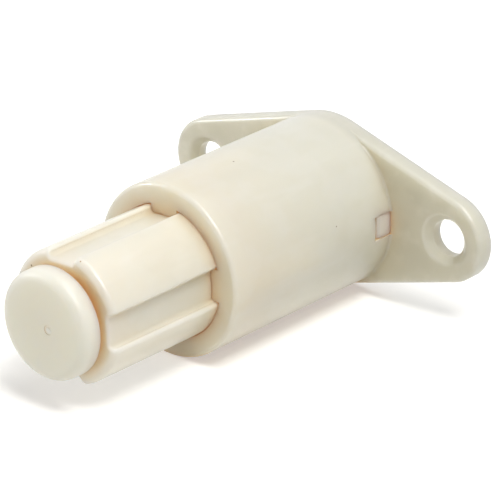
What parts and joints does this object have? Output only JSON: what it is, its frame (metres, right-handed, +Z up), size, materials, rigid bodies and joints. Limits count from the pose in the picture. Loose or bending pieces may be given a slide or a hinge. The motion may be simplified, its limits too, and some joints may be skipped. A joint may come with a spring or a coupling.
{
  "type": "drawer latch",
  "caption": "Push-to-open drawer latch: a sprung plunger slides on keys in a round barrel, which stands on an oval flange with countersunk screw holes.",
  "frame": {"origin": "middle of the flange's back face, half-way between the two screw holes", "axes": "-Y along the barrel, the way the plunger springs out; +Y into the surface that the flange is screwed to; X from one screw hole to the other; +Z up"},
  "size_m": [0.045, 0.0473, 0.02],
  "materials": {
    "ivory_plastic": "moulded, soft gloss",
    "cap_plastic": "moulded, soft gloss",
    "head_plastic": "moulded, satin",
    "ring_acetal": "moulded, satin",
    "washer_steel": "stamped",
    "spring_steel": "drawn wire"
  },
  "bodies": {
    "barrel": {"housing": "ivory_plastic", "back_cap": "cap_plastic", "return_spring": "spring_steel"},
    "plunger": {"plunger": "ivory_plastic", "plunger_head": "head_plastic", "retaining_washer": "washer_steel"},
    "index_ring": {"index_ring": "ring_acetal"}
  },
  "joints": [
    {"name": "plunger_slide", "type": "slide", "parent": "barrel", "child": "plunger", "axis": [0, 1, 0], "range_m": [0, 0.014], "stiffness_N_per_m": 613, "springref_m": -0.003, "deforming": ["return_spring"]},
    {"name": "index_turn", "type": "hinge", "parent": "plunger", "child": "index_ring", "pos_m": [0, -0.0236, 0], "axis": [0, -1, 0], "range_deg": [0, 45]}
  ],
  "couplings": [
    {"joint": "index_turn", "follows": "plunger_slide", "rad_per_m": 56.1}
  ]
}
